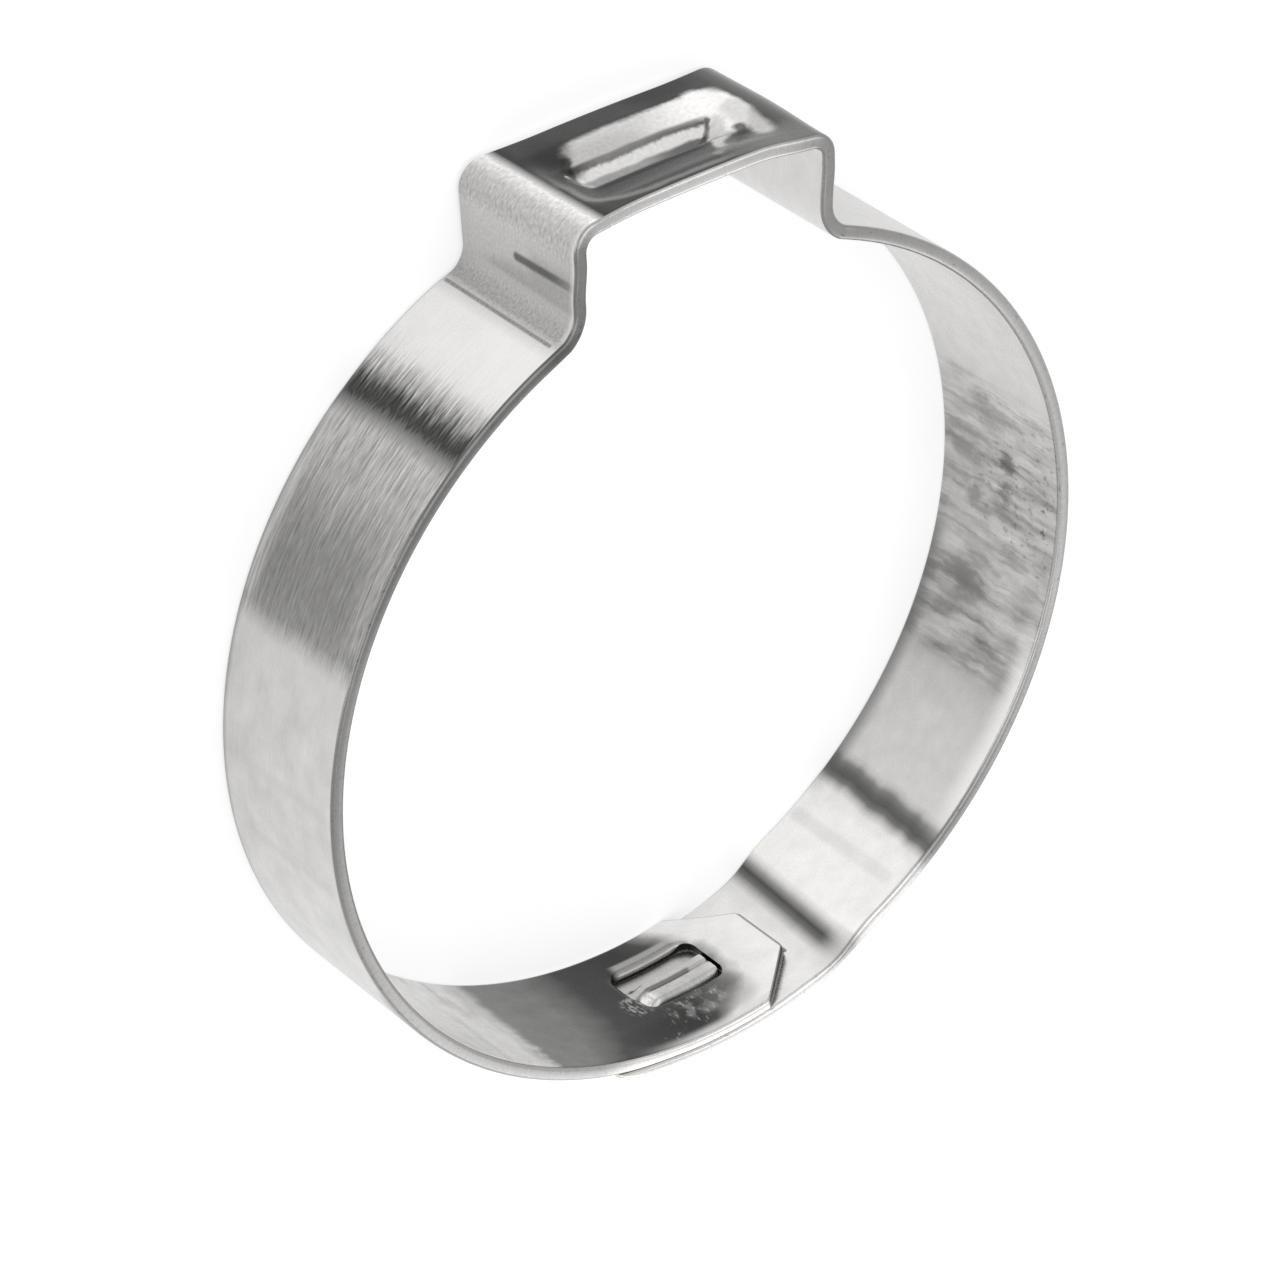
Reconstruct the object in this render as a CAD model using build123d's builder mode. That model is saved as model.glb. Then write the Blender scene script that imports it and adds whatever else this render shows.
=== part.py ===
from build123d import *
from math import acos, cos, degrees, radians, sin, sqrt
import os

# One-ear hose clamp: a single steel strip rolled into a ring, with its two ends
# lapped and hooked together and a raised ear to be crimped with pincers.
# The ring's axis is Z, the ear points along +Y, and the strip's width runs evenly
# to both sides of Z = 0. Lengths are in millimetres and angles in degrees. Angles
# are measured round the ring's axis from +X, so the ear is at 90.

# Strip
bore_radius = 17.3
strip_thickness = 0.6
strip_width = 7.0
edge_bevel = 0.13

# Ear
ear_width = 12.16
ear_height = 3.2
leg_lean = 2.0
foot_bend = 1.15
crease_angle = 12.0
crease_bend = 0.1
corner_bend = 1.1
arch_rise = 0.15
pinch_depth = 0.36
pinch_length = 15.0
pinch_floor = 5.0
pinch_bend = 25.0

# Drawn recess in the ear: a shallow dish with a narrow, deep channel along it
dish_length = 9.0
dish_width = 5.2
dish_depth = 0.38
dish_corner = 1.4
channel_length = 6.5
channel_width = 1.6
channel_depth = 0.6
channel_bottom_length = 5.2
channel_bottom_width = 0.2
dish_rim_round = 0.6
bulge_foot_round = 0.3
channel_rim_round = 0.3
channel_bottom_round = 0.2

# Lap: the inner end is flush with the bore, and the outer end steps out over it
tip_angle = 285.6
tip_end_width = 2.9
tip_taper = 2.4
lap_length = 10.0
lap_gap = 0.04
step_clearance = 0.3
step_foot_bend = 3.3
step_head_bend = 2.7
step_back_foot_bend = 40.0
step_back_head_bend = 5.0
step_back_lead = 1.4
outer_end_thickness = 0.4
outer_end_flattening = 2.0
outer_end_bevel = 1.5
outer_end_lip = 0.1

# Window in the inner end, and the hook of the outer end that fills it
window_land = 2.4
window_length = 4.0
window_width = 2.5
window_shift = -0.45
window_corner = 0.55
window_draw = 0.35
hook_clearance = 0.12
hook_width = 1.6
hook_rise = 0.5
hook_ramp = 0.9
hook_round = 0.3
pocket_floor = 0.25
pocket_corner = 0.5

# Surfaces of the strip, as radii in the ring
half_thickness = strip_thickness / 2
half_width = strip_width / 2
ring_radius = bore_radius + half_thickness
ring_outside = bore_radius + strip_thickness
lap_inside = ring_outside + lap_gap
lap_radius = lap_inside + half_thickness
origin = Vector(0, 0)


def turn(length):
    """Angle that a length along the strip takes up on the ring."""
    return degrees(length / ring_radius)


def polar(radius, angle, centre=origin):
    """Point at a radius and an angle round a centre."""
    return centre + Vector(radius * cos(radians(angle)), radius * sin(radians(angle)))


def heading(start, end):
    """Angle of the direction from one point to another."""
    return Vector(1, 0).get_signed_angle(end - start, Vector(0, 0, 1))


def bend(centre, radius, start, end):
    """Arc round a centre between two angles."""
    angles = (start, (start + end) / 2, end)
    ThreePointArc(*[polar(radius, angle, centre) for angle in angles])


def reach(start, direction, centre, distance):
    """Point ahead of start, along a unit direction, at a distance from a centre."""
    across = start - centre
    along = across.dot(direction)
    return start + direction * (sqrt(along**2 - across.length**2 + distance**2) - along)


# Ear, as the bends of its right half on the strip's middle surface
leg_centre = ear_width / 2 - half_thickness
ear_top = ring_outside + ear_height - half_thickness
leg_middle = Vector(leg_centre, ring_outside + ear_height / 2)
leg_up = polar(1, 90 - leg_lean)
leg_out = polar(1, -leg_lean)
arch_radius = (leg_centre**2 + arch_rise**2) / (2 * arch_rise)
arch_centre = Vector(0, ear_top - arch_radius)
corner_radius = corner_bend - half_thickness
corner_centre = reach(
    leg_middle - leg_out * corner_radius, leg_up, arch_centre, arch_radius - corner_radius
)
foot_radius = foot_bend + half_thickness
crease_radius = crease_bend + half_thickness
crease_from = ring_radius + crease_radius
foot_from = foot_radius - crease_radius
foot_reach = sqrt(
    crease_from**2
    + foot_from**2
    + 2 * crease_from * foot_from * cos(radians(crease_angle))
)
foot_centre = reach(leg_middle + leg_out * foot_radius, leg_up, origin, foot_reach)
ear_foot = heading(origin, foot_centre) + degrees(
    acos((crease_from**2 + foot_reach**2 - foot_from**2) / (2 * crease_from * foot_reach))
)
crease_centre = polar(crease_from, ear_foot)


def ear_half(level):
    """Right half of the ear's outline, at a height above the middle surface."""
    shoulder = heading(arch_centre, corner_centre)
    foot_turn = heading(foot_centre, crease_centre) % 360
    bend(arch_centre, arch_radius + level, 90, shoulder)
    bend(corner_centre, corner_radius + level, shoulder, -leg_lean)
    Line(
        polar(corner_radius + level, -leg_lean, corner_centre),
        polar(foot_radius - level, 180 - leg_lean, foot_centre),
    )
    bend(foot_centre, foot_radius - level, 180 - leg_lean, foot_turn)
    bend(crease_centre, crease_radius - level, foot_turn, ear_foot + 180)


# Lap, as angles on the ring
step_end = tip_angle + turn(step_clearance)
back_end = step_end - turn(step_back_lead)
lap_end = tip_angle - turn(lap_length)
bevel_start = lap_end + turn(outer_end_bevel)


def step(ring_level, lap_level, foot, head, end):
    """Two tangent bends from the ring's level out to the lap's, and where they start."""
    foot_from = ring_level + foot
    head_from = lap_level - head
    reach_squared = (foot + head) ** 2
    cosine = (foot_from**2 + head_from**2 - reach_squared) / (2 * foot_from * head_from)
    start = end + degrees(acos(cosine))
    foot_centre = polar(foot_from, start)
    head_centre = polar(head_from, end)
    slope = heading(foot_centre, head_centre)
    bend(foot_centre, foot, start - 180, slope)
    bend(head_centre, head, slope - 180, end - 360)
    return start


# Places on the lap's window and hook
window_angle = tip_angle - turn(window_land + window_length / 2)
hook_reach = window_length / 2 - hook_clearance
hook_start = window_angle - turn(hook_reach)
hook_end = window_angle + turn(hook_reach)
hook_crest = lap_inside - hook_rise


def tangent_plane(radius, angle, level):
    """Plane that faces outwards from the ring's axis, with X along the strip."""
    place = polar(radius, angle) + Vector(0, 0, level)
    return Plane(origin=place, x_dir=polar(1, angle + 90), z_dir=polar(1, angle))


# Cutter of the inner end: the two slanted corners of its tip, and the window
with BuildPart() as inner_end_cut:
    with BuildSketch(tangent_plane(ring_radius, tip_angle, 0)):
        with BuildLine():
            Polyline(
                (-tip_taper, half_width),
                (0, tip_end_width / 2),
                (step_clearance / 2, tip_end_width / 2),
                (step_clearance / 2, strip_width),
                (-tip_taper, strip_width),
                close=True,
            )
        make_face()
        mirror(about=Plane.XZ)
    with BuildSketch(tangent_plane(ring_radius, window_angle, window_shift)):
        RectangleRounded(window_length, window_width, window_corner)
    extrude(amount=2 * strip_thickness, both=True)
    Cylinder(ring_outside + lap_gap / 2, 4 * strip_width, mode=Mode.INTERSECT)

# Hook: a rounded rib pressed inwards, with a ramp at one end and a cut face at
# the other that bears on the end of the window
with BuildPart() as hook:
    with BuildSketch(Plane.XY.offset(window_shift)):
        with BuildLine():
            ramp_end = hook_start + turn(hook_ramp)
            bend(origin, lap_radius, hook_start, hook_end)
            Line(polar(lap_radius, hook_end), polar(hook_crest, hook_end))
            bend(origin, hook_crest, hook_end, ramp_end)
            Polyline(
                polar(hook_crest, ramp_end),
                polar(lap_inside, hook_start),
                polar(lap_radius, hook_start),
            )
        make_face()
    extrude(amount=hook_width / 2, both=True)
    fillet(hook.edges().filter_by(GeomType.CIRCLE).filter_by(lambda e: e.radius < lap_inside), hook_round)

# Recess of the ear: the dish, and the channel sunk in its floor
recess_mouth = 0.05
dish_slope = (dish_length - channel_length, dish_width - channel_width)
with BuildPart() as recess:
    ear_crown = Plane(origin=(0, ear_top + half_thickness, 0), x_dir=(1, 0, 0), z_dir=(0, 1, 0))
    spread = recess_mouth / dish_depth
    with BuildSketch(ear_crown.offset(recess_mouth)):
        RectangleRounded(
            dish_length + spread * dish_slope[0], dish_width + spread * dish_slope[1], dish_corner
        )
    with BuildSketch(ear_crown.offset(-dish_depth)):
        RectangleRounded(channel_length, channel_width, channel_width / 2 - 0.05)
    loft(ruled=True)
    with BuildSketch(ear_crown.offset(-dish_depth)):
        RectangleRounded(channel_length, channel_width, channel_width / 2 - 0.05)
    with BuildSketch(ear_crown.offset(-dish_depth - channel_depth)):
        RectangleRounded(channel_bottom_length, channel_bottom_width, channel_bottom_width / 2 - 0.01)
    loft(ruled=True)
    channel_rim = recess.edges().group_by(Axis.Y)[-3]
    fillet(channel_rim, channel_rim_round)
    fillet(recess.edges().group_by(Axis.Y)[0], channel_bottom_round)

with BuildPart() as clamp_band:
    with BuildSketch():
        with BuildLine():
            for level in (-half_thickness, half_thickness):
                ear_half(level)
            mirror(about=Plane.YZ)
        with BuildLine():
            lap_outside = lap_inside + strip_thickness
            step_start = step(bore_radius, lap_inside, step_foot_bend, step_head_bend, step_end)
            back_start = step(
                ring_outside, lap_outside, step_back_foot_bend, step_back_head_bend, back_end
            )
            bend(origin, bore_radius, ear_foot, step_start - 360)
            bend(origin, ring_outside, ear_foot, back_start - 360)
            bend(origin, lap_inside, step_end, lap_end)
            RadiusArc(
                polar(lap_outside, back_end),
                polar(lap_inside + outer_end_thickness, lap_end),
                lap_radius + outer_end_flattening,
            )
            Line(polar(lap_inside + outer_end_thickness, lap_end), polar(lap_inside, lap_end))
            bend(origin, bore_radius, 180 - ear_foot, tip_angle)
            bend(origin, ring_outside, 180 - ear_foot, tip_angle)
            Line(polar(bore_radius, tip_angle), polar(ring_outside, tip_angle))
        make_face()
    extrude(amount=half_width, both=True)

    # Edges of the ear, drawn in as its top was pressed down
    with BuildSketch(Plane.XZ):
        with BuildLine():
            FilletPolyline(
                (-2 * pinch_length, half_width),
                (-pinch_length / 2, half_width),
                (-pinch_floor / 2, half_width - pinch_depth),
                (pinch_floor / 2, half_width - pinch_depth),
                (pinch_length / 2, half_width),
                (2 * pinch_length, half_width),
                radius=pinch_bend,
            )
            Polyline(
                (2 * pinch_length, half_width),
                (2 * pinch_length, strip_width),
                (-2 * pinch_length, strip_width),
                (-2 * pinch_length, half_width),
            )
        make_face()
        mirror(about=Plane.XY)
    extrude(amount=-2 * ring_outside, mode=Mode.SUBTRACT)

    # Long edges of the strip, eased
    rims = clamp_band.edges().filter_by(Axis.Z, reverse=True)
    rims -= rims.filter_by(GeomType.LINE).filter_by(lambda edge: edge.length < 1.5 * strip_thickness)
    chamfer(rims, length=min(edge_bevel, 0.45 * outer_end_thickness))

    add(inner_end_cut.part, mode=Mode.SUBTRACT)

    # Bevel of the outer end
    with BuildSketch():
        with BuildLine():
            Polyline(
                polar(lap_inside + outer_end_lip, lap_end),
                polar(lap_inside + strip_thickness, bevel_start),
                polar(2 * lap_radius, bevel_start),
                polar(2 * lap_radius, lap_end - turn(strip_thickness)),
                polar(lap_inside + outer_end_lip, lap_end - turn(strip_thickness)),
                close=True,
            )
        make_face()
    extrude(amount=strip_width, both=True, mode=Mode.SUBTRACT)

    # Hook, and the pocket that pressing it leaves in the outer face
    add(hook.part)
    with BuildSketch(tangent_plane(lap_inside + pocket_floor, window_angle, window_shift)):
        RectangleRounded(window_length - 2 * hook_clearance, hook_width, pocket_corner)
    extrude(amount=strip_thickness, mode=Mode.SUBTRACT)

    # Recess, bulging below the ear by as much as it sinks into it
    add(recess.part.moved(Location((0, -strip_thickness, 0))))
    add(recess.part, mode=Mode.SUBTRACT)
    pierced = clamp_band.faces().filter_by(lambda face: face.inner_wires()).sort_by(Axis.Y)
    fillet(pierced[-1].inner_wires()[0].edges(), dish_rim_round)
    pierced = clamp_band.faces().filter_by(lambda face: face.inner_wires()).sort_by(Axis.Y)
    fillet(pierced[-2].inner_wires()[0].edges(), bulge_foot_round)

    # Window's edge on the bore side, drawn round along one side and both ends
    bore = pierced.filter_by(GeomType.CYLINDER).sort_by(lambda face: face.radius)[0]
    fillet(bore.inner_wires()[0].edges().sort_by(Axis.Z)[:5], window_draw)

os.makedirs("parts", exist_ok=True)
clamp_band.part.label = "clamp_band"
export_step(clamp_band.part, "parts/clamp_band.step")
print(f"clamp_band {clamp_band.part.volume:.1f} mm3")
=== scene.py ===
import bpy
import math
import numpy as np
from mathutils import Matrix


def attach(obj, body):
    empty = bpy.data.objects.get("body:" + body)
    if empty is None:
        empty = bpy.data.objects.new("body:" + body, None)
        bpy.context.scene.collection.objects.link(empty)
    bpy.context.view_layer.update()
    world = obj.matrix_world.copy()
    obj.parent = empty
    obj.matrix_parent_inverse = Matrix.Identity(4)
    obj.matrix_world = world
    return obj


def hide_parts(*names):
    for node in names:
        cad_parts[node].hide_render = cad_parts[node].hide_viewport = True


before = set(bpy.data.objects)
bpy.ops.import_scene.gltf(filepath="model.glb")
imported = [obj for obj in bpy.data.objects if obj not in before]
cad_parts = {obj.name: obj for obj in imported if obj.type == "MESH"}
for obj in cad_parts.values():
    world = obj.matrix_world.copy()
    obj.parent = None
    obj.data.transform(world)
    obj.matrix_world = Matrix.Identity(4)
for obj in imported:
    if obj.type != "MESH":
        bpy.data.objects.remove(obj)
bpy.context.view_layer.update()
mm = 0.001


def clearSelection():
    if bpy.context.object and bpy.context.object.mode != "OBJECT":
        bpy.ops.object.mode_set(mode="OBJECT")
    bpy.ops.object.select_all(action="DESELECT")


def makeActive(obj):
    clearSelection()
    obj.select_set(True)
    bpy.context.view_layer.objects.active = obj


def points(obj):
    # places of all vertices, in mm
    co = np.empty(len(obj.data.vertices) * 3, np.float64)
    obj.data.vertices.foreach_get("co", co)
    return co.reshape(-1, 3) / mm


def setPoints(obj, co):
    obj.data.vertices.foreach_set("co", (co * mm).astype(np.float32).ravel())
    obj.data.update()


def ease(x):
    x = np.clip(x, 0, 1)
    return x * x * (3 - 2 * x)


def between(x, low, high, soft):
    # 1 inside the range and 0 outside it, with soft sides
    return ease((x - low) / soft + 0.5) * ease((high - x) / soft + 0.5)


def soften(values, passes):
    # evens out neighbouring rows
    for _ in range(passes):
        padded = np.concatenate([values[:1], values, values[-1:]])
        values = (padded[:-2] + 2 * padded[1:-1] + padded[2:]) / 4
    return values


def polar(radius, angle):
    return np.array([radius * math.cos(math.radians(angle)), radius * math.sin(math.radians(angle))])


# The strip is rolled up in one go, and its two ends are hooked together.
# Lengths are in mm, and angles in degrees round the ring from +X.
strip = {
    "bore": 17.3,
    "thickness": 0.6,
    "width": 7.0,
    "edgeRound": 0.17,
    "edgeSteps": 5,
    "widthCuts": 63,        # cuts across the strip's flat sides
    "tipAngle": 285.6,      # the inner end
    "lapLength": 10.0,
    "tipPart": 9.0,         # length of the fine rows at the inner end
    "tipRows": 88,
    "ringRow": 0.5,
    "fineRow": 0.13,
    "earWidth": 12.16,
    "earHeight": 3.2,
    "legLean": 2.0,
    "footBend": 1.15,
    "creaseAngle": 12.0,
    "creaseBend": 0.1,
    "cornerBend": 1.1,
    "archRise": 0.15,
    "lapPart": 15.0,        # length of the fine rows at the outer end
}
half = strip["thickness"] / 2
halfWidth = strip["width"] / 2
ring = strip["bore"] + half
outside = strip["bore"] + strip["thickness"]


def earBends():
    # centre, radius and turn of each bend in the ear's right half, from the crown down
    lean = math.radians(strip["legLean"])
    legX = strip["earWidth"] / 2 - half
    top = outside + strip["earHeight"] - half
    legMid = np.array([legX, outside + strip["earHeight"] / 2])
    up = np.array([math.sin(lean), math.cos(lean)])
    out = np.array([math.cos(lean), -math.sin(lean)])
    archRadius = (legX ** 2 + strip["archRise"] ** 2) / (2 * strip["archRise"])
    archCentre = np.array([0.0, top - archRadius])

    def ahead(start, centre, distance):
        across = start - centre
        along = across @ up
        return start + up * (math.sqrt(along ** 2 - across @ across + distance ** 2) - along)

    cornerRadius = strip["cornerBend"] - half
    cornerCentre = ahead(legMid - out * cornerRadius, archCentre, archRadius - cornerRadius)
    footRadius = strip["footBend"] + half
    creaseRadius = strip["creaseBend"] + half
    a = ring + creaseRadius
    b = footRadius - creaseRadius
    reach = math.sqrt(a * a + b * b + 2 * a * b * math.cos(math.radians(strip["creaseAngle"])))
    footCentre = ahead(legMid + out * footRadius, np.zeros(2), reach)
    offAxis = math.acos((a * a + reach * reach - b * b) / (2 * a * reach))
    footAngle = math.atan2(footCentre[1], footCentre[0]) + offAxis
    creaseCentre = a * np.array([math.cos(footAngle), math.sin(footAngle)])
    shoulder = math.atan2(*(cornerCentre - archCentre)[::-1])
    footTurn = math.atan2(*(creaseCentre - footCentre)[::-1]) % (2 * math.pi)
    legTop = cornerCentre + cornerRadius * out
    legFoot = footCentre - footRadius * out
    return {
        "footAngle": math.degrees(footAngle),
        "arch": (archCentre, archRadius, math.pi / 2 - shoulder),
        "corner": (cornerCentre, cornerRadius, shoulder + lean),
        "leg": (legFoot - legTop, math.dist(legFoot, legTop)),
        "foot": (footCentre, footRadius, footTurn - math.pi + lean),
        "crease": (creaseCentre, creaseRadius, math.pi + footAngle - footTurn),
    }


def stripSection():
    # an upright face through the strip's end, with rounded corners and cut long edges
    clearSelection()
    x, y = polar(ring, strip["tipAngle"])
    bpy.ops.mesh.primitive_plane_add(
        size=1, location=(x * mm, y * mm, 0),
        rotation=(math.pi / 2, 0, math.radians(strip["tipAngle"])))
    piece = bpy.context.object
    piece.name = "clampBand"
    piece.scale = (strip["thickness"] * mm, strip["width"] * mm, 1)
    bpy.ops.object.transform_apply(location=True, rotation=True, scale=True)
    bpy.ops.object.mode_set(mode="EDIT")
    bpy.ops.mesh.select_all(action="SELECT")
    bpy.ops.mesh.bevel(
        offset=strip["edgeRound"] * mm, segments=strip["edgeSteps"], affect="VERTICES", profile=0.5)
    bpy.ops.mesh.select_all(action="SELECT")
    bpy.ops.mesh.delete(type="ONLY_FACE")
    bpy.ops.object.mode_set(mode="OBJECT")
    co = points(piece)
    for edge in piece.data.edges:
        edge.select = math.dist(co[edge.vertices[0]], co[edge.vertices[1]]) > halfWidth
    bpy.ops.object.mode_set(mode="EDIT")
    bpy.ops.mesh.select_mode(type="EDGE")
    bpy.ops.mesh.subdivide(number_cuts=strip["widthCuts"])
    bpy.ops.object.mode_set(mode="OBJECT")
    return piece


def spinOn(centre, angle, steps):
    # carries the open end of the strip round a bend, clockwise where the angle is positive
    bpy.ops.mesh.spin(
        steps=steps, angle=angle, center=(centre[0] * mm, centre[1] * mm, 0), axis=(0, 0, 1))


def pushOn(move, steps):
    for _ in range(steps):
        bpy.ops.mesh.extrude_region_move(
            TRANSFORM_OT_translate={"value": (move[0] * mm / steps, move[1] * mm / steps, 0)})


def rollStrip():
    # grows the strip from its inner end, round the ring and the ear, to its outer end
    bends = earBends()
    fine = strip["fineRow"]
    lengths = [0.0]

    def grow(length, steps, act):
        start = lengths[-1]
        act(steps)
        lengths.extend([start + length * (i + 1) / steps for i in range(steps)])
        return start

    def ringBend(length, steps):
        grow(length, steps, lambda n: spinOn((0, 0), length / ring, n))

    def earBend(name, side, way):
        (x, y), radius, angle = bends[name]
        steps = max(round(radius * angle / fine), 3)
        grow(radius * angle, steps, lambda n: spinOn((side * x, y), way * angle, n))

    def leg(way):
        (x, y), length = bends["leg"]
        grow(length, round(length / fine / 2), lambda n: pushOn((x, way * y), n))

    bpy.ops.object.mode_set(mode="EDIT")
    bpy.ops.mesh.select_all(action="SELECT")
    leftTurn = math.radians(strip["tipAngle"] - 180 + bends["footAngle"])
    leftRing = leftTurn * ring - strip["tipPart"]
    ringBend(strip["tipPart"], strip["tipRows"])
    ringBend(leftRing, round(leftRing / strip["ringRow"]))
    earBend("crease", -1, -1)
    earBend("foot", -1, -1)
    leg(-1)
    earBend("corner", -1, 1)
    (x, y), radius, angle = bends["arch"]
    archSteps = round(2 * radius * angle / fine)
    archStart = grow(2 * radius * angle, archSteps, lambda n: spinOn((x, y), 2 * angle, n))
    earBend("corner", 1, 1)
    leg(1)
    earBend("foot", 1, -1)
    earBend("crease", 1, -1)
    outerEnd = strip["tipAngle"] - math.degrees(strip["lapLength"] / ring)
    rightTurn = math.radians(bends["footAngle"] + 360 - outerEnd)
    rightRing = rightTurn * ring - strip["lapPart"]
    ringBend(rightRing, round(rightRing / strip["ringRow"]))
    lapStart = lengths[-1]
    ringBend(strip["lapPart"], round(strip["lapPart"] / fine))
    bpy.ops.object.mode_set(mode="OBJECT")
    return np.array(lengths), archStart + radius * angle, lapStart


class Rows:
    # the strip's vertices, by row along it and place in its section
    def __init__(self, piece, columns, lengths):
        co = points(piece).reshape(-1, columns, 3)
        self.depth = np.tile(np.hypot(co[0, :, 0], co[0, :, 1]) - ring, (len(co), 1))
        self.level = np.tile(co[0, :, 2], (len(co), 1))
        inner = co[:, self.depth[0] < -half + 0.001, :2].mean(1)
        outer = co[:, self.depth[0] > half - 0.001, :2].mean(1)
        self.centre = (inner + outer) / 2
        self.outward = (outer - inner) / np.linalg.norm(outer - inner, axis=1)[:, None]
        self.along = np.tile(lengths[:, None], (1, columns))
        self.angle = np.degrees(np.arctan2(self.centre[:, 1], self.centre[:, 0]))[:, None] % 360
        self.flat = self.depth.copy()               # depth before any change
        self.across = self.level.copy()             # level before any change
        self.slide = np.zeros_like(self.depth)      # shift along X
        self.slip = np.zeros_like(self.depth)       # shift along the strip

    def places(self):
        flat = self.centre[:, None, :] + self.outward[:, None, :] * self.depth[:, :, None]
        flat[:, :, 0] += self.slide + self.outward[:, None, 1] * self.slip
        flat[:, :, 1] -= self.outward[:, None, 0] * self.slip
        return np.concatenate([flat, self.level[:, :, None]], axis=2).reshape(-1, 3)


tip = {
    "thickness": 0.48,      # the inner end is a little thinner, as the lap was pressed on it
    "endWidth": 2.9,
    "thinFrom": 7.0,        # it is at that thickness up to here, from the tip
    "thinTo": 10.5,         # and at full thickness from here on
    "taper": 2.4,           # length of the slanted corners
    "endRound": 0.07,
}


def shapeTip(rows):
    # narrows the inner end to its blunt tip, with the edge's round kept
    done = np.clip(rows.along / tip["taper"], 0, 1)
    wide = tip["endWidth"] / 2 + (halfWidth - tip["endWidth"] / 2) * done
    roundFrom = halfWidth - strip["edgeRound"]
    side = np.sign(rows.across)
    inFlat = np.abs(rows.across) <= roundFrom
    squeezed = rows.across * (wide - strip["edgeRound"]) / roundFrom
    moved = side * (wide - halfWidth + np.abs(rows.across))
    rows.level = np.where(rows.along < tip["taper"], np.where(inFlat, squeezed, moved), rows.level)
    pressed = ease((tip["thinTo"] - rows.along) / (tip["thinTo"] - tip["thinFrom"]))
    thin = 1 - (1 - tip["thickness"] / strip["thickness"]) * pressed
    rows.depth = (rows.depth + half) * thin - half
    for row in (0, -1):
        rows.depth[row] *= 1 - tip["endRound"] / half
        outwards = np.sign(rows.level[row]) * np.abs(rows.across[row] / halfWidth) ** 4
        rows.level[row] -= outwards * tip["endRound"]


lap = {
    # radii of the outer end's two faces, by angle
    "inner": ((253.0, 17.9), (256.0, 17.87), (262.0, 17.8), (285.0, 17.8), (287.0, 17.82),
              (288.2, 17.8), (289.7, 17.76), (291.2, 17.6), (292.7, 17.45), (294.5, 17.35),
              (295.8, 17.3), (360.0, 17.3)),
    "outer": ((253.0, 18.02), (254.5, 18.12), (256.0, 18.24), (257.5, 18.34), (258.6, 18.36),
              (262.0, 18.34), (265.0, 18.34), (270.0, 18.38), (275.0, 18.44), (280.0, 18.53),
              (282.0, 18.56), (285.0, 18.47), (288.0, 18.29), (290.0, 18.16), (293.0, 18.04),
              (296.0, 17.96), (298.5, 17.91), (300.0, 17.9), (360.0, 17.9)),
    "innerPasses": 6,       # rounds of softening of each face
    "outerPasses": 4,
}


def shapeLap(rows, lapStart):
    # steps the outer end out over the inner one, and flattens and bevels it
    on = rows.along[:, 0] >= lapStart
    angles = rows.angle[on, 0]
    inner = soften(np.interp(angles, *zip(*lap["inner"])), lap["innerPasses"])
    outer = soften(np.interp(angles, *zip(*lap["outer"])), lap["outerPasses"])
    share = (rows.flat[on] + half) / strip["thickness"]
    rows.depth[on] = inner[:, None] + share * (outer - inner)[:, None] - ring


window = {
    "fromTip": 4.4,         # centre, along the strip from the tip
    "length": 4.0,
    "width": 2.7,
    "shift": -0.55,         # centre, across the strip
    "corner": 0.55,
    "draw": 0.4,            # round of the drawn rim on the bore side
    "drawShare": 0.85,      # how much of that round is drawn on the far side
    "tipShare": 0.3,        # and at the tip end, as a share of the far side's
    "leastShare": 0.12,     # and anywhere else
    "farSoft": 0.9,
    "farReach": 0.9,
    "tipSoft": 1.2,
    "tipReach": 0.3,
    "clear": 99.0,          # stands for a place well away from the window
}
hook = {
    "play": 0.12,
    "width": 1.46,
    "shift": -0.31,
    "rise": 0.4,
    "ramp": 0.8,
    "side": 0.3,            # width of its sloping sides
    "spread": 0.1,          # how far they start outside its width
    "cut": 0.13,            # softness of its cut face
    "groove": 0.1,
    "grooveSides": (-0.14, 0.0),
    "grooveSoft": 0.16,
    "pocket": 0.33,         # depth of the hollow on its other side
    "pocketSoft": (0.5, 0.35),
}


def windowPlace(rows):
    # lengths from the window's centre, along and across the strip
    along = rows.along + rows.slip - window["fromTip"]
    along[rows.along > strip["tipPart"]] = window["clear"]
    return along, rows.level - window["shift"]


def outlineDistance(along, across):
    # signed distance from the window's rounded outline, negative inside
    a = np.abs(along) - window["length"] / 2 + window["corner"]
    b = np.abs(across) - window["width"] / 2 + window["corner"]
    out = np.hypot(np.maximum(a, 0), np.maximum(b, 0))
    return out + np.minimum(np.maximum(a, b), 0) - window["corner"]


def pressHook(rows, lapStart):
    # a rib pressed inwards from the outer end, with a ramp at one end and a cut face at the other
    on = rows.along[:, 0] >= lapStart
    centre = strip["tipAngle"] - math.degrees(window["fromTip"] / ring)
    along = np.radians(rows.angle[on] - centre) * ring + 0 * rows.level[on]
    across = rows.level[on] - hook["shift"]
    reach = window["length"] / 2 - hook["play"]
    wide = hook["width"] / 2
    body = ease((wide + hook["spread"] - np.abs(across)) / hook["side"])
    bore = body * ease((along + reach) / hook["ramp"]) * ease((reach - along) / hook["cut"] + 0.5)
    bore -= hook["groove"] / hook["rise"] * bore * between(across, *hook["grooveSides"], hook["grooveSoft"])
    softEnd, softSide = hook["pocketSoft"]
    sink = between(along, -reach, reach, softEnd) * between(across, -wide, wide, softSide)
    share = (rows.flat[on] + half) / strip["thickness"]
    rows.depth[on] -= hook["rise"] * bore * (1 - share) + hook["pocket"] * sink * share


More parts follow.
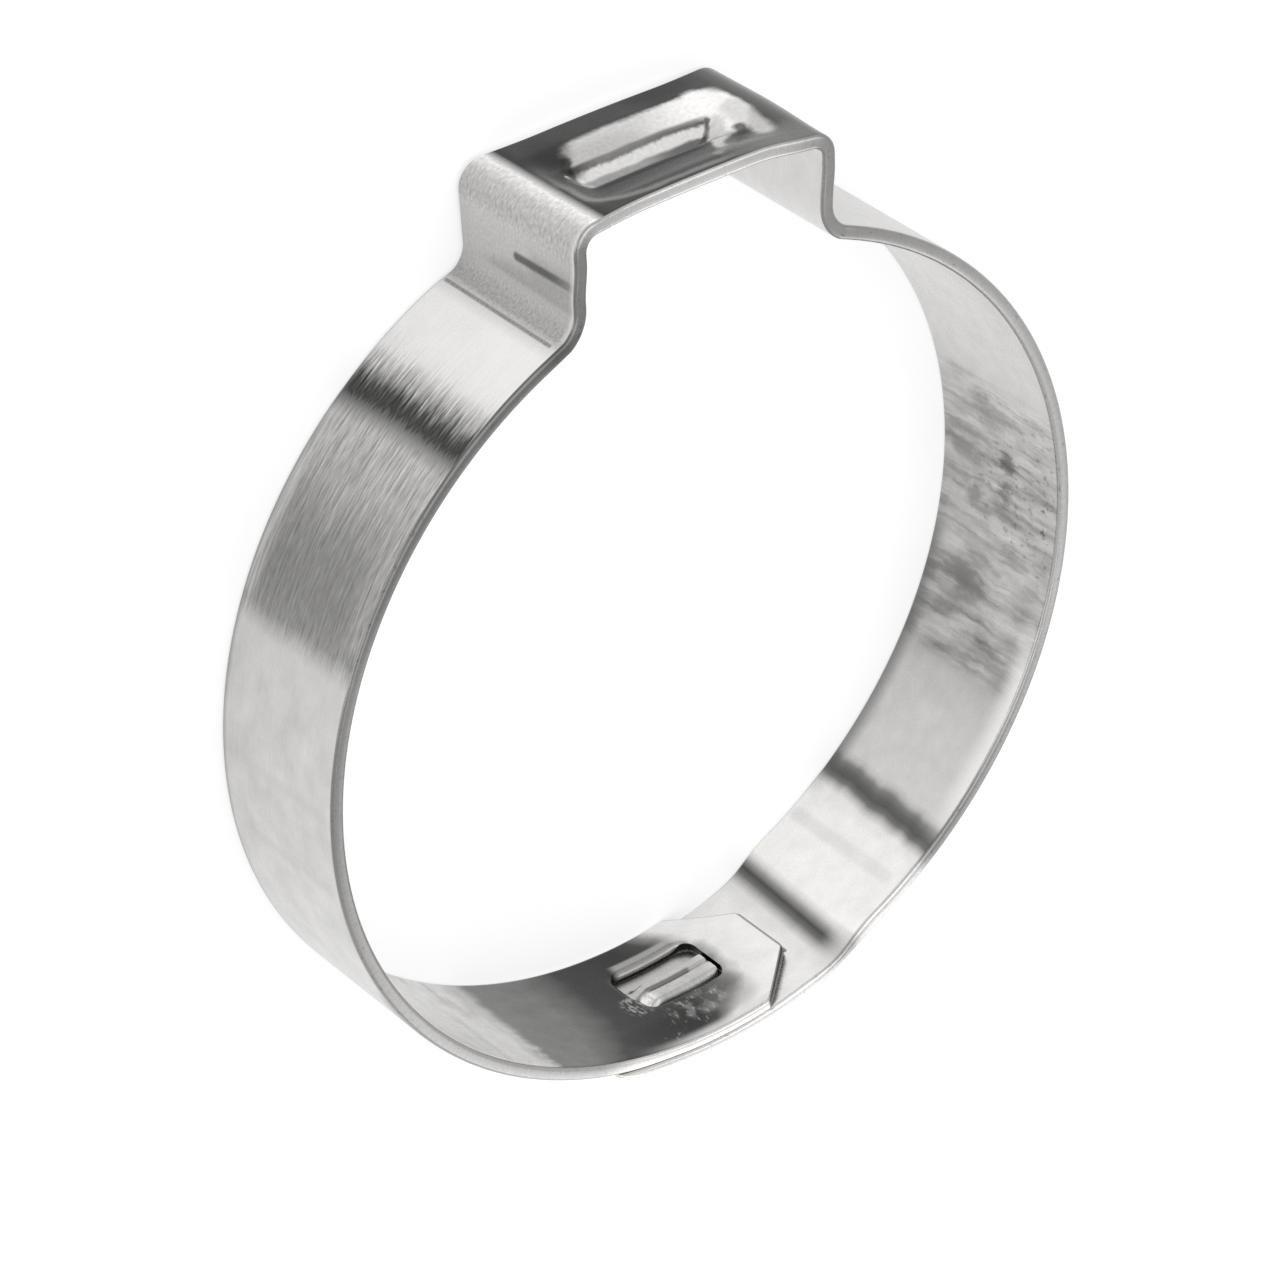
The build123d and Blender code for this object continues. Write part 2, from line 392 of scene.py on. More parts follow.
ear = {
    "pinch": 0.36,          # how far the long edges are drawn in
    "pinchLength": 15.0,
    "pinchFloor": 5.0,
    "skew": 0.16,           # shift of the near edge along X
    "skewHeight": 1.6,      # height over which that shift comes in
    "level": 15.0,          # the ear's rows are all above this Y
    "sag": 0.14,            # drop of the crown's near right corner
    "sagEnds": (3.8, 7.2),
    "sagSoft": 2.4,
    "sagSide": 0.5,
    "sagWidth": 4.0,
    "dishLength": 9.2,
    "dishWidth": 4.9,
    "dishShift": 0.3,
    "dishDepth": 0.4,
    "dishCorner": 0.5,
    "dishRound": 0.92,      # 1 meets the channel flat, and less at a slope
    "channelLength": 6.6,
    "channelWidth": 1.6,
    "channelShift": 0.08,
    "channelDepth": 0.58,
    "channelCorner": 0.12,
    "bottomLength": 5.5,
    "bottomWidth": 0.16,
    "recessPasses": 2,
}


def nested(along, across, outer, inner, corner):
    # 0 at the outer outline and 1 at the inner one, with rounded corners
    a = (outer[0] / 2 - np.abs(along)) / ((outer[0] - inner[0]) / 2)
    b = (outer[1] / 2 - np.abs(across)) / ((outer[1] - inner[1]) / 2)
    blend = np.clip(0.5 + (b - a) / (2 * corner), 0, 1)
    return np.clip(b + (a - b) * blend - corner * blend * (1 - blend), 0, 1)


def sinkRecess(rows, middle):
    # a shallow dish in the ear's crown, with a narrow, deep channel along it
    along = rows.along - middle
    mouth = (ear["dishLength"], ear["dishWidth"])
    rim = (ear["channelLength"], ear["channelWidth"])
    bottom = (ear["bottomLength"], ear["bottomWidth"])
    dish = nested(along, rows.level - ear["dishShift"], mouth, rim, ear["dishCorner"])
    dish = ease(dish * ear["dishRound"]) / ease(ear["dishRound"])
    channel = nested(along, rows.level - ear["channelShift"], rim, bottom, ear["channelCorner"])
    depth = ear["dishDepth"] * dish + ear["channelDepth"] * channel
    onArch = np.abs(along) < strip["earWidth"] / 2
    rows.depth -= soften(np.where(onArch, depth, 0), ear["recessPasses"])
    sag = between(along, *ear["sagEnds"], ear["sagSoft"])
    rows.depth -= ear["sag"] * (sag * ease((rows.across + ear["sagSide"]) / ear["sagWidth"]))


def drawEdges(rows):
    # the ear's long edges come in where its top was pressed, and its near edge is a little askew
    x = np.abs(rows.centre[:, :1])
    onEar = rows.centre[:, 1:] > ear["level"]
    slope = (ear["pinchLength"] - ear["pinchFloor"]) / 2
    drawn = ear["pinch"] * ease((ear["pinchLength"] / 2 - x) / slope) * onEar
    edge = np.abs(rows.across / halfWidth) ** 3
    rows.level -= np.sign(rows.across) * drawn * edge
    lift = ease((rows.centre[:, 1:] - outside) / ear["skewHeight"]) * onEar
    rows.slide += ear["skew"] * lift * (rows.across / halfWidth + 1) / 2


def drawRim(rows):
    # the window's rim is drawn round on the bore side, along its far side and its tip end
    along, across = windowPlace(rows)
    gap = outlineDistance(along, across)
    turn = np.clip(1 - np.maximum(gap, 0) / window["draw"], 0, 1)
    fall = window["draw"] * (1 - np.sqrt(1 - turn ** 2))
    farSide = ease(window["farReach"] - across / window["farSoft"])
    farSide = farSide * ease((along + window["length"] / 2) / window["farSoft"])
    tipEnd = window["tipShare"] * ease(-along / window["tipSoft"] + window["tipReach"])
    share = np.clip(np.maximum(farSide, tipEnd), window["leastShare"], 1)
    rows.depth += np.where(rows.flat < 0, fall * share * window["drawShare"], 0)


def markWindow(piece, rows):
    # finds the window's faces and slips their outermost vertices onto its outline
    along, across = windowPlace(rows)
    gap = outlineDistance(along, across).ravel()
    onFlat = np.abs(rows.flat.ravel()) > half - 0.001
    corners = np.empty(len(piece.data.loops), np.int32)
    piece.data.loops.foreach_get("vertex_index", corners)
    quads = corners.reshape(-1, 4)
    inside = (gap[quads].mean(1) < 0) & onFlat[quads].all(1)
    rim = np.intersect1d(quads[inside].ravel(), quads[~inside].ravel())
    r, c = np.unravel_index(rim, rows.along.shape)
    a, b = along[r, c], across[r, c]
    for _ in range(4):
        gap = outlineDistance(a, b)
        slopeA = (outlineDistance(a + 0.001, b) - gap) / 0.001
        slopeB = (outlineDistance(a, b + 0.001) - gap) / 0.001
        a, b = a - gap * slopeA, b - gap * slopeB
    rows.slip[r, c] = a + window["fromTip"] - rows.along[r, c]
    rows.level[r, c] = b + window["shift"]
    return inside


def openWindow(piece, inside):
    # closes the strip's two ends, takes the window's faces out and closes its walls
    makeActive(piece)
    bpy.ops.object.mode_set(mode="EDIT")
    bpy.ops.mesh.select_mode(type="EDGE")
    bpy.ops.mesh.select_all(action="DESELECT")
    bpy.ops.mesh.select_non_manifold()
    bpy.ops.mesh.edge_face_add()
    bpy.ops.mesh.select_mode(type="FACE")
    bpy.ops.mesh.select_all(action="DESELECT")
    bpy.ops.object.mode_set(mode="OBJECT")
    picked = np.zeros(len(piece.data.polygons), bool)
    picked[:len(inside)] = inside
    piece.data.polygons.foreach_set("select", picked)
    bpy.ops.object.mode_set(mode="EDIT")
    bpy.ops.mesh.delete(type="FACE")
    bpy.ops.mesh.select_mode(type="EDGE")
    bpy.ops.mesh.select_non_manifold()
    bpy.ops.mesh.bridge_edge_loops()
    bpy.ops.mesh.select_all(action="SELECT")
    bpy.ops.mesh.normals_make_consistent(inside=False)
    bpy.ops.object.mode_set(mode="OBJECT")


def markPlaces(piece, rows):
    # keeps each vertex's length along the strip, level and side for the finish to follow
    layer = piece.data.attributes.new("stripPlace", "FLOAT_VECTOR", "POINT")
    place = np.stack([rows.along + rows.slip, rows.level, rows.flat / half], axis=2)
    layer.data.foreach_set("vector", place.astype(np.float32).ravel())


def buildBand():
    piece = stripSection()
    columns = len(piece.data.vertices)
    lengths, middle, lapStart = rollStrip()
    print("strip rolled:", columns, "by", len(lengths), "vertices")
    rows = Rows(piece, columns, lengths)
    shapeTip(rows)
    shapeLap(rows, lapStart)
    inside = markWindow(piece, rows)
    drawRim(rows)
    pressHook(rows, lapStart)
    sinkRecess(rows, middle)
    drawEdges(rows)
    setPoints(piece, rows.places())
    markPlaces(piece, rows)
    openWindow(piece, inside)
    makeActive(piece)
    bpy.ops.object.shade_smooth_by_angle(angle=math.radians(35))
    print("band shaped:", len(piece.data.polygons), "faces")
    return piece


class Wire:
    # one output socket; sums written on it add their Math nodes
    def __init__(self, socket):
        self.socket = socket

    def math(self, operation, first, second=None, third=None):
        values = {i: v for i, v in enumerate((first, second, third)) if v is not None}
        return addNode(self.socket.id_data, "Math", {"operation": operation}, values)

    def __add__(self, other):
        return self.math("ADD", self, other)

    def __sub__(self, other):
        return self.math("SUBTRACT", self, other)

    def __rsub__(self, other):
        return self.math("SUBTRACT", other, self)

    def __mul__(self, other):
        return self.math("MULTIPLY", self, other)

    def __truediv__(self, other):
        return self.math("DIVIDE", self, other)

    def __rtruediv__(self, other):
        return self.math("DIVIDE", other, self)

    def __abs__(self):
        return self.math("ABSOLUTE", self)

    __radd__ = __add__
    __rmul__ = __mul__

    def least(self, other):
        return self.math("MINIMUM", self, other)

    def most(self, other):
        return self.math("MAXIMUM", self, other)

    def ramp(self, low, high):
        # 0 up to low and 1 from high on, eased between them
        settings = {"interpolation_type": "SMOOTHSTEP"}
        return addNode(self.socket.id_data, "MapRange", settings, {0: self, 1: low, 2: high})

    def band(self, low, high, soft):
        # 1 between low and high, with soft sides
        return self.ramp(low - soft / 2, low + soft / 2) * (1 - self.ramp(high - soft / 2, high + soft / 2))


def addNode(tree, kind, settings=None, inputs=None, output=0):
    # one node with its settings, and its sockets' values or links
    node = tree.nodes.new("ShaderNode" + kind)
    for name, value in (settings or {}).items():
        if name == "stops":
            setStops(node.color_ramp.elements, value)
        else:
            setattr(node, name, value)
    for name, value in (inputs or {}).items():
        if isinstance(value, Wire):
            tree.links.new(value.socket, node.inputs[name])
        else:
            node.inputs[name].default_value = value
    return Wire(node.outputs[output]) if node.outputs else node


def setStops(elements, stops):
    # stops are (place, grey) pairs
    while len(elements) > 1:
        elements.remove(elements[-1])
    elements[0].position = stops[0][0]
    elements[0].color = (*[stops[0][1]] * 3, 1)
    for place, grey in stops[1:]:
        elements.new(place).color = (*[grey] * 3, 1)


def emptyMaterial(name):
    material = bpy.data.materials.new(name)
    material.use_nodes = True
    material.node_tree.nodes.clear()
    return material, material.node_tree


studio = {
    "floorLevel": -3.5,     # mm
    "floorSize": 3.0,       # m
    "floorGlow": 0.66,
    "world": 0.8,
    "lens": 157.479,
    "cameraPlace": (-108.35510834, 119.06899186, 141.41441388),   # mm
    "cameraTurn": (-32.79667742, -38.149757, -1.79739312),        # degrees
    "lamps": (              # name, place and size in m, and watts
        ("overhead", (0.05, 0.05, 0.5), (0.5, 0.5), 0.8),
        ("leftFill", (-0.5, 0.1, 0.25), (0.35, 0.3), 0.4),
        ("backFill", (0.25, -0.45, 0.25), (0.3, 0.3), 0.3)),
}


def floorFinish():
    # plain and white to the eye, with a soft shadow
    material, tree = emptyMaterial("paleFloor")
    seen = addNode(tree, "LightPath")
    node = seen.socket.node
    eye = Wire(node.outputs["Is Camera Ray"]).most(Wire(node.outputs["Is Glossy Ray"]))
    eye = eye.most(Wire(node.outputs["Is Transmission Ray"]))
    matt = addNode(tree, "BsdfDiffuse", None, {"Color": (0.42, 0.42, 0.42, 1)})
    glow = addNode(tree, "Emission", None, {"Color": (1, 1, 1, 1), "Strength": studio["floorGlow"]})
    none = addNode(tree, "Emission", None, {"Color": (1, 1, 1, 1), "Strength": 0.0})
    shine = addNode(tree, "MixShader", None, {0: eye, 1: none, 2: glow})
    both = addNode(tree, "AddShader", None, {0: matt, 1: shine})
    addNode(tree, "OutputMaterial", None, {"Surface": both})
    return material


def buildFloor():
    clearSelection()
    bpy.ops.mesh.primitive_plane_add(
        size=studio["floorSize"], location=(0, 0, studio["floorLevel"] * mm))
    floor = bpy.context.object
    floor.name = "paleFloor"
    floor.data.materials.append(floorFinish())
    print("floor laid")


def addSoftBox(name, place, size, watts):
    clearSelection()
    bpy.ops.object.light_add(type="AREA", location=place)
    lamp = bpy.context.object
    lamp.name = name
    lamp.data.shape = "RECTANGLE"
    lamp.data.size, lamp.data.size_y = size
    lamp.data.energy = watts
    lamp.rotation_euler = lamp.location.to_track_quat("Z", "Y").to_euler()


def buildLights():
    for name, place, size, watts in studio["lamps"]:
        addSoftBox(name, place, size, watts)
    world = bpy.data.worlds.new("studioAir")
    bpy.context.scene.world = world
    world.use_nodes = True
    tree = world.node_tree
    tree.nodes.clear()
    air = addNode(tree, "Background", None, {"Color": (1, 1, 1, 1), "Strength": studio["world"]})
    addNode(tree, "OutputWorld", None, {"Surface": air})
    print("lights set")


def buildCamera():
    clearSelection()
    place = [value * mm for value in studio["cameraPlace"]]
    turn = [math.radians(value) for value in studio["cameraTurn"]]
    bpy.ops.object.camera_add(location=place, rotation=turn)
    camera = bpy.context.object
    camera.name = "viewer"
    camera.data.lens = studio["lens"]
    camera.data.sensor_width = 36
    camera.data.clip_start, camera.data.clip_end = 0.01, 10
    bpy.context.scene.camera = camera
    bpy.context.scene.view_settings.view_transform = "Standard"
    print("camera set")


finish = {
    # greys of 0 to 255 by length along the strip from its inner end, in mm; they hold the steel's own tone
    # together with painted reflection bands, painted highlights and painted shade
    "boreStart": ((0, 236), (1.9, 228), (2.6, 140), (3.3, 78), (4.6, 62), (8.2, 66), (9.2, 100),
                  (10.2, 117), (13.0, 112), (13.6, 186), (14.6, 208), (20, 205), (60, 205)),
    "boreEnd": ((60, 200), (78, 214), (89, 207), (92, 190), (101, 187), (103.5, 178), (106, 196),
                (109.3, 202), (109.7, 116), (110.15, 84), (110.5, 118), (110.9, 222), (111.5, 233),
                (115.1, 238), (115.5, 150), (115.8, 72), (116.1, 120), (116.5, 218), (117.4, 230),
                (119.5, 226), (120.5, 192), (128, 186)),
    # painted highlight at the bend near 58.4, and the crown's dark painted reflection from 58.8 to 68.2
    "outer": ((0, 205), (22, 204), (33, 197), (38.8, 196), (39.3, 146), (43, 158), (47.4, 178),
              (47.58, 100), (48.0, 64), (48.5, 80), (49.2, 162), (50.1, 226), (52.9, 232),
              (53.2, 160), (54.1, 164), (54.6, 178), (57.1, 190), (57.7, 168), (57.98, 188),
              (58.3, 205), (58.42, 246), (58.66, 220), (58.78, 60), (58.95, 50), (59.2, 70),
              (68.2, 72), (68.9, 120), (70.5, 180), (74, 200), (128, 200)),
    # the edges' tones are partly painted reflections, darker along the legs and lighter at the crown
    "edge": ((0, 225), (9, 225), (11, 178), (22, 178), (26, 165), (33, 142), (39, 136), (42, 120),
             (52, 114), (53.2, 92), (54.5, 125), (57.5, 134), (58.4, 190), (64, 205), (67, 190),
             (69, 150), (72, 150), (76, 160), (84, 180), (98, 184), (102, 165), (107, 142),
             (110.8, 130), (111.6, 200), (114.8, 212), (115.6, 150), (116.6, 190), (118, 228),
             (128, 215)),
    # painted shade on the tip's sheared walls
    "tipWallShade": 104,
    # painted shadow on the window's walls
    "windowWallShadow": 40,
    "windowEnds": (2.2, 6.6),       # where the window's walls are dark
    "windowMiddle": -0.6,
    "tint": (1.0, 0.988, 0.968),
    "roughness": 0.27,
    "grainRoughness": 0.14,
    "bump": 0.08,
    "bumpHeight": 0.00004,          # m
    # spots are centre, size, strength and grey; strokes are start, end, width, strength and grey
    "boreStrokesAndTipShadow": (((112.5, 2.6), (112.5, -3), 0.45, 0.3, 190),
                    # the last two strokes are painted contact shadow along the inner end's tip and slanted
                    # edge, half under the tip
                    ((117.4, -1.35), (117.4, 1.35), 0.14, 0.85, 88),
                    ((117.42, -1.4), (119.7, -3.4), 0.16, 0.7, 110)),
    "lapSpots": (((6.6, 2.3), (2.8, 1.0), 0.5, 44),
                 ((3.3, 1.9), (1.5, 1.4), 0.5, 118)),
    # smudges are centre, size and grey
    "smudges": (((94.2, 0.5), (0.9, 0.7), 70), ((93.8, 1.7), (0.35, 0.5), 100),
                ((95.7, 0.3), (0.8, 0.5), 110), ((94.2, -2.2), (1.0, 2.2), 128),
                ((92.3, 0.2), (1.1, 1.8), 150), ((91.3, -0.9), (0.7, 0.9), 130),
                ((96.3, -1.0), (0.8, 2.0), 118), ((100.4, -1.6), (0.8, 3.2), 118),
                ((99.2, -0.4), (0.5, 1.2), 140), ((97.4, -2.6), (0.6, 1.2), 140)),
    # the crown's painted shade and highlights are placed from its middle
    "crownMiddle": 63.5,
    "crownShadeAndLightSpots": (((3.6, 2.7), (2.6, 1.4), 0.6, 132),
                   ((2.6, -2.9), (2.0, 1.2), 0.6, 40),
                   ((-3.2, -1.4), (1.4, 1.6), 0.5, 46)),
    "crownShadeAndHighlightStrokes": (((-3.4, -0.25), (-3.0, -1.1), 0.4, 0.85, 38),
                     ((-3.3, 0.45), (-3.25, -0.3), 0.18, 1, 220),
                     ((2.7, 1.8), (3.55, 0.75), 0.34, 0.85, 46),
                     ((2.45, 0.15), (3.05, -0.55), 0.17, 0.75, 80)),
}


def linear(grey):
    # light that a grey of 0 to 255 stands for
    value = grey / 255
    return value / 12.92 if value <= 0.04045 else ((value + 0.055) / 1.055) ** 2.4


def toneAlong(tree, along, tones, longest=128.0):
    stops = [(place / longest, linear(grey)) for place, grey in tones]
    start, end = stops[0][0], stops[-1][0]
    stops = [((place - start) / (end - start), grey) for place, grey in stops]
    place = (along / longest - start) / (end - start)
    return addNode(tree, "ValToRGB", {"stops": stops}, {"Fac": place})


def texture(tree, along, across, alongScale, acrossScale, detail=3.0, seed=0.0):
    # noise from 0 to 1, stretched along or across the strip
    place = addNode(tree, "CombineXYZ", None, {0: along * alongScale, 1: across * acrossScale, 2: seed})
    return addNode(tree, "TexNoise", None, {"Vector": place, "Scale": 1.0, "Detail": detail})


def stroke(along, across, start, end, width):
    # a soft mark between two points of the strip
    a, b = end[0] - start[0], end[1] - start[1]
    square = a * a + b * b
    u, v = along - start[0], across - start[1]
    share = (u * (a / square) + v * (b / square)).most(0).least(1)
    u, v = u - share * a, v - share * b
    gap = u.math("SQRT", u * u + v * v)
    return 1 - gap.ramp(width * 0.3, width)


def spot(along, across, centre, size):
    # a soft oval
    u, v = (along - centre[0]) / size[0], (across - centre[1]) / size[1]
    return 1 - (u * u + v * v).ramp(0.0, 1.0)


def mixTone(base, mask, grey):
    # base where the mask is 0, and a plain grey where it is 1
    return base + (linear(grey) - base) * mask


def addSpots(tone, along, across, spots):
    for centre, size, strength, grey in spots:
        tone = mixTone(tone, spot(along, across, centre, size) * strength, grey)
    return tone


def addStrokes(tone, along, across, strokes):
    for start, end, width, strength, grey in strokes:
        tone = mixTone(tone, stroke(along, across, start, end, width) * strength, grey)
    return tone


def boreTone(tree, along, across):
    # the side that grips the hose
    warp = (-1.2 - across).most(0) * 0.6 + (across - 1.5).most(0) * 1.15
    warp = warp * (1 - along.ramp(3.5, 7.5)) + (across - 0.5).most(0) * 0.45 * along.band(7.5, 12, 3)
    wave = (texture(tree, along, across, 0.6, 1.0) - 0.5) * 0.9
    serrated = (texture(tree, along, across, 2.0, 3.0, 4.0, 8.0) - 0.5) * across.ramp(-1, 2.5) * 1.2
    shifted = along - warp + wave + serrated * along.band(12.5, 15, 1)
    # the tone tables lay painted reflection bands over the steel's own tone
    start = toneAlong(tree, shifted, finish["boreStart"])
    bend = (texture(tree, along, across, 0.3, 0.9, 2.0, 4.0) - 0.5) * 0.45
    end = toneAlong(tree, along - across * 0.06 + bend * along.band(108, 111.5, 1), finish["boreEnd"])
    tone = start + (end - start) * along.ramp(59, 61)
    mottle = texture(tree, along, across, 1.1, 1.3, 5.0, 3.0) - 0.5
    tone = tone * (1 + mottle * (0.25 + along.band(8.5, 18, 2) * 0.25))
    patches = texture(tree, along, across, 1.2, 0.45, 5.0, 41.0).ramp(0.44, 0.66)
    tone = tone * (1 - patches * along.band(13.8, 17.6, 1.2) * 0.24)
    tone = wornTone(tree, along, across, tone)
    tone = mixTone(tone, (1 - across.ramp(-3.4, -2.5)) * along.band(98, 110.5, 3) * 0.7, 104)
    # painted highlights along the near edge, over the dark band near 115.5 and from 101.5 to 109.3
    boreEdgeHighlight = across.ramp(2.0, 3.3) * along.band(115.2, 116.8, 0.3)
    tone = mixTone(tone, boreEdgeHighlight * 0.7, 215)
    tone = mixTone(tone, across.ramp(2.3, 3.4) * along.band(101.5, 109.3, 3) * 0.85, 234)
    # bore strokes; the last two are painted contact shadow beside the inner end's tip
    tone = addStrokes(tone, along, across, finish["boreStrokesAndTipShadow"])
    return lapTone(tree, along, across, tone)


def wornTone(tree, along, across, tone):
    # smudges and rub marks across the strip
    worn = along.band(90.4, 103.6, 0.6)
    drift = (texture(tree, along, across, 0.8, 1.1, 3.0, 11.0) - 0.5) * 1.6
    cloud = texture(tree, along, across, 0.9, 0.55, 6.0, 17.0)
    streaks = texture(tree, along + drift * 0.3, across, 1.7, 0.3, 5.0, 7.0)
    fine = texture(tree, along + drift * 0.2, across, 5.0, 0.7, 3.0, 27.0)
    tone = tone * (1 - (cloud.ramp(0.42, 0.7) * 0.2 + streaks.ramp(0.47, 0.7) * 0.3) * worn)
    tone = tone * (1 - (fine - 0.5) * worn * 0.5)
    thread = texture(tree, along + drift * 0.3, across, 3.6, 0.2, 4.0, 47.0).ramp(0.5, 0.66)
    tone = tone * (1 - thread * worn * 0.2)
    tone = tone * (1 + (1 - streaks.ramp(0.3, 0.44)) * worn * 0.12)
    fleck = texture(tree, along, across, 4.0, 2.4, 5.0, 23.0).ramp(0.55, 0.68)
    flecked = along.band(91, 98, 1.0) * across.band(-1.6, 3.2, 1.0)
    tone = tone * (1 - fleck * (flecked * 0.32 + along.band(93, 99, 1) * across.band(2.5, 3.1, 0.3) * 0.3))
    rough = cloud.ramp(0.36, 0.6) * 0.7 + streaks.ramp(0.4, 0.6) * 0.5
    bands = along.band(99.8, 100.9, 0.7) * 0.8 + along.band(101.3, 103.7, 1.4) * 0.6
    bands = bands + along.band(93.4, 97, 1) * 0.3
    tone = tone * (1 - bands * (1 - across.ramp(2.2, 3.2)) * (rough * 0.25 + 0.08))
    u = along + drift * 0.25 + (streaks - 0.5) * 1.1
    v = across + drift * 0.5 + (fine - 0.5) * 1.6
    for centre, size, grey in finish["smudges"]:
        tone = mixTone(tone, (spot(u, v, centre, size) * (rough * 0.8 + 0.1)).least(0.7), grey)
    return tone


def lapTone(tree, along, across, tone):
    # painted highlight along the near edge, scuffs round the window, painted light on its drawn rim,
    # painted shade along the tip's end and in the hook's groove, and bright scuffs with a painted highlight
    # on the hook's end
    # painted highlight along the near edge
    nearEdgeHighlight = across.ramp(2.85, 3.35) * (1 - along.ramp(5, 9.5))
    tone = mixTone(tone, nearEdgeHighlight * 0.85, 215)
    tone = addSpots(tone, along, across, finish["lapSpots"])
    grit = texture(tree, along, across, 7.0, 3.0, 5.0, 21.0)
    haze = texture(tree, along, across, 2.4, 1.6, 4.0, 33.0).ramp(0.4, 0.65)
    rubbed = spot(along, across, (4.6, 1.75), (2.2, 1.2))
    rubbed = rubbed + spot(along, across, (5.4, 2.9), (2.6, 0.5)) * 0.5
    tone = mixTone(tone, haze * spot(along, across, (4.5, 1.7), (1.8, 0.9)) * 0.5, 165)
    tone = mixTone(tone, grit.ramp(0.52, 0.7) * haze * rubbed * 0.95, 190)
    besideWindow = spot(along, across, (6.75, 0.3), (0.8, 0.9))
    tone = mixTone(tone, grit.ramp(0.45, 0.65) * besideWindow * 0.8, 185)
    # painted highlight on the window's drawn, rounded rim
    tone = mixTone(tone, along.band(3.1, 6.0, 0.5) * across.band(-2.42, -1.86, 0.16) * 0.85, 170)
    # painted shade line along the tip's end and its slanted edge
    edge = stroke(along, across, (0.04, -1.4), (0.04, 1.4), 0.12)
    edge = edge.most(stroke(along, across, (0.04, -1.45), (2.3, -3.4), 0.12))
    tone = mixTone(tone, edge * (1 - along.ramp(3, 4)) * 0.7, 96)
    onHook = along.band(120.9, 124.6, 0.2) * across.band(-1.2, 0.5, 0.2)
    tone = tone * (1 - (grit - 0.5) * onHook * 0.5)
    # painted shade in the hook's groove
    tone = mixTone(tone, onHook * across.band(-0.56, -0.34, 0.12) * 0.8, 112)
    # bright scuffs and a painted highlight on the hook's end, where it curves down
    scuffedHighlight = along.band(123.0, 124.5, 0.5) * across.band(-0.4, 0.45, 0.3) * grit.ramp(0.35, 0.55)
    return mixTone(tone, scuffedHighlight * 0.9, 246)


def outerTone(tree, along, across):
    # the side that shows from outside, with the pressed ear
    grain = (texture(tree, along, across, 0.4, 9.0, 4.0, 1.0) - 0.5) * 2.0
    fibre = (texture(tree, along, across, 1.6, 11.0, 3.0, 6.0) - 0.5) * 2.0
    wave = (texture(tree, along, across, 0.6, 1.6, 3.0, 5.0) - 0.5) * 0.5
    ragged = along.band(47.6, 51, 1.0)
    bow = (abs(across) * 0.05 - across.most(0) * 0.04) * along.band(46, 50, 1)
    shifted = along + wave * (1 - along.ramp(46, 47)) + (grain * 0.7 + fibre * 0.5) * ragged + bow
    # the tone table lays painted reflection bands, a painted highlight at the bend and the crown's dark
    # painted reflection over the steel's own tone
    tone = toneAlong(tree, shifted, finish["outer"])
    mottle = texture(tree, along, across, 0.7, 0.8, 6.0, 2.0) - 0.5
    tone = tone * (1 + mottle * (0.1 + (1 - along.ramp(36, 40)) * 0.35))
    for place, grey in ((29.7, 184), (33.0, 186)):
        bounded = (along + wave * 1.6).band(place, place + 0.5, 0.4) * across.band(-3, 3.3, 1)
        tone = mixTone(tone, bounded * 0.4, grey)
    brushed = along.band(39, 49.4, 1.0)
    tone = tone * (1 + grain * (brushed * 0.6 + 0.05) + fibre * (brushed * 0.55 + 0.03))
    tone = mixTone(tone, (along + grain).band(39.6, 44, 3) * across.band(-2.7, 2.5, 1.2) * 0.45, 104)
    tone = mixTone(tone, (1 - across.ramp(-3.3, -2.6)) * along.band(39.4, 47, 0.8) * (0.55 + grain), 210)
    tone = mixTone(tone, (1 - across.ramp(-3.42, -3.1)) * along.band(24, 49, 2) * 0.6, 120)
    peel = (texture(tree, along, across, 6.0, 9.0, 3.0, 9.0) - 0.5) * 2.0
    bends = along.band(53.2, 54.4, 0.5) + along.band(57.0, 58.7, 0.5)
    tone = tone * (1 + peel * (bends * 0.5 + along.band(54.4, 57.0, 0.5) * 0.2))
    # painted shade: a dark line in the crease where the ring meets the ear
    tone = mixTone(tone, stroke(along, across, (53.12, 3.0), (53.12, -3.2), 0.12) * (peel * 0.4 + 0.6), 84)
    # painted shade either side of the bend near 56, and a narrower dark line in it
    tone = mixTone(tone, stroke(along, across, (56.0, 4.2), (55.95, 1.2), 0.8) * 0.25, 110)
    crease = stroke(along, across, (56.02, 4.2), (55.94, 0.0), 0.26)
    tone = mixTone(tone, crease * (0.85 - across.ramp(1.8, 3.4) * 0.4), 74)
    # painted highlight along the near edge of the ear's foot and leg
    tone = mixTone(tone, across.ramp(3.0, 3.3) * along.band(53.4, 58, 0.5) * 0.5, 225)
    tone = mixTone(tone, spot(along, across, (22.6, 3.3), (2.2, 0.9)) * 0.7, 120)
    return earTone(tree, along, across, tone)


